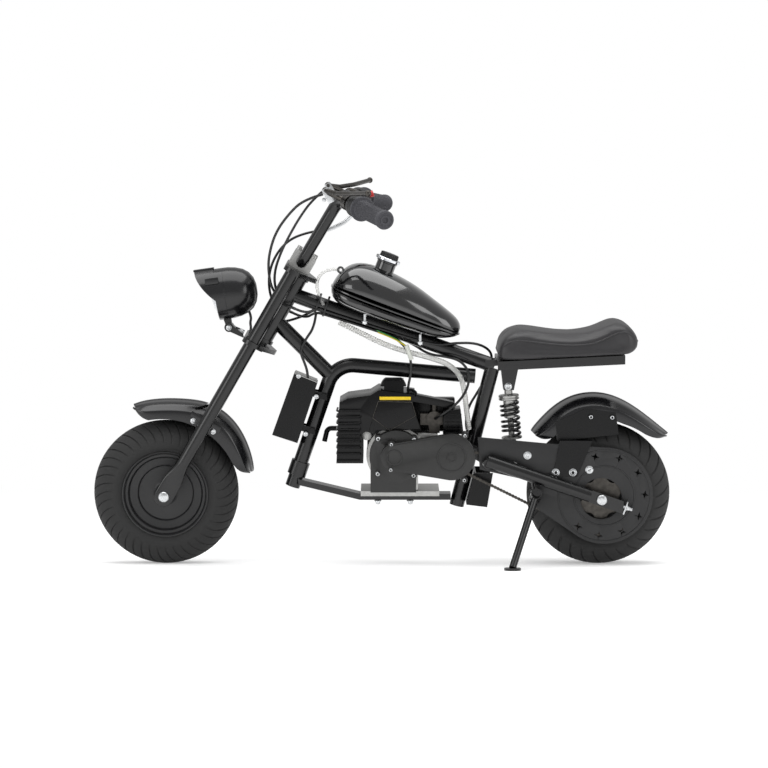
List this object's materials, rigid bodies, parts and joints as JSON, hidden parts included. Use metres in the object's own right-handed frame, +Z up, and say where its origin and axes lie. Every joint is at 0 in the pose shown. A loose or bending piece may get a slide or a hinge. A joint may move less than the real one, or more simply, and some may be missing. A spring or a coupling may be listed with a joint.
{
  "type": "mini dirt bike",
  "caption": "Small petrol mini dirt bike with fat tyres, a rigid fork, a single rear shock and a side stand, parked leaning on the stand.",
  "frame": {"origin": "on the floor, at the bottom centre of the parked bike's bounding box", "axes": "+X forward, +Y to the bike's left, +Z up; the bike leans 6 degrees towards +Y onto its side stand"},
  "size_m": [1.1236, 0.6328, 0.7682],
  "materials": {
    "frame_black": "gloss black enamel over welded steel tube",
    "spring_black": "black coated spring wire",
    "tank_black": "deep gloss black paint",
    "fender_black": "gloss black moulded plastic",
    "black_plastic": "moulded black plastic",
    "cast_black": "black painted casting",
    "cast_aluminium": "bare die cast aluminium",
    "bright_steel": "zinc plated steel",
    "chain_steel": "dark oiled steel",
    "rim_black": "satin black pressed steel",
    "tyre_rubber": "black tyre rubber",
    "grip_rubber": "soft dark grey rubber",
    "cable_rubber": "black cable sheath",
    "hose_clear": "clear spiral wrap",
    "seat_cover": "black grained vinyl",
    "lamp_lens": "clear ribbed lens"
  },
  "bodies": {
    "frame": {"main_frame": "frame_black", "seat_tray": "frame_black", "seat": "seat_cover", "fuel_tank": "tank_black", "fuel_cap": "black_plastic", "engine_plate": "cast_aluminium", "engine_crankcase": "cast_aluminium", "engine_cover": "cast_black", "engine_shroud": "black_plastic", "reduction_case": "black_plastic", "recoil_starter": "black_plastic", "air_filter": "black_plastic", "carburettor": "cast_aluminium", "muffler": "frame_black", "drive_sprocket": "bright_steel", "drive_chain": "chain_steel", "chain_guard": "black_plastic", "swingarm": "frame_black", "rear_axle": "bright_steel", "brake_caliper": "cast_aluminium", "rear_fender": "fender_black", "fender_bracket": "frame_black", "shock_absorber": "frame_black", "shock_spring": "spring_black", "shock_bolts": "bright_steel", "control_box": "black_plastic", "splash_plate": "frame_black", "stand_bracket": "frame_black", "frame_cables": "cable_rubber", "spiral_hose": "hose_clear"},
    "fork": {"fork_legs": "frame_black", "upper_clamp": "frame_black", "lower_clamp": "frame_black", "handlebar": "frame_black", "bar_clamps": "cast_aluminium", "grips": "grip_rubber", "switch_housings": "black_plastic", "brake_levers": "bright_steel", "front_fender": "fender_black", "front_axle": "bright_steel", "headlight": "fender_black", "headlight_lens": "lamp_lens", "headlight_bracket": "frame_black", "fork_cables": "cable_rubber"},
    "front_wheel": {"front_tyre": "tyre_rubber", "front_rim": "rim_black"},
    "rear_wheel": {"rear_tyre": "tyre_rubber", "rear_rim": "rim_black", "rear_sprocket": "bright_steel", "brake_disc": "bright_steel"},
    "stand": {"side_stand": "frame_black"}
  },
  "joints": [
    {"name": "steering", "type": "hinge", "parent": "frame", "child": "fork", "pos_m": [0.18774, -0.01861, 0.51178], "axis": [-0.5, 0.0905, 0.8613], "range_deg": [-30, 30]},
    {"name": "front_wheel_spin", "type": "hinge", "parent": "fork", "child": "front_wheel", "pos_m": [0.42076, -0.05766, 0.14023], "axis": [0, 0.9945, -0.1045], "continuous": true},
    {"name": "rear_wheel_spin", "type": "hinge", "parent": "frame", "child": "rear_wheel", "pos_m": [-0.42226, -0.05781, 0.13874], "axis": [0, 0.9945, -0.1045], "continuous": true},
    {"name": "stand_fold", "type": "hinge", "parent": "frame", "child": "stand", "pos_m": [-0.29526, 0.03844, 0.13616], "axis": [-0.0935, 0.8782, 0.469], "range_deg": [0, 85.4]}
  ]
}
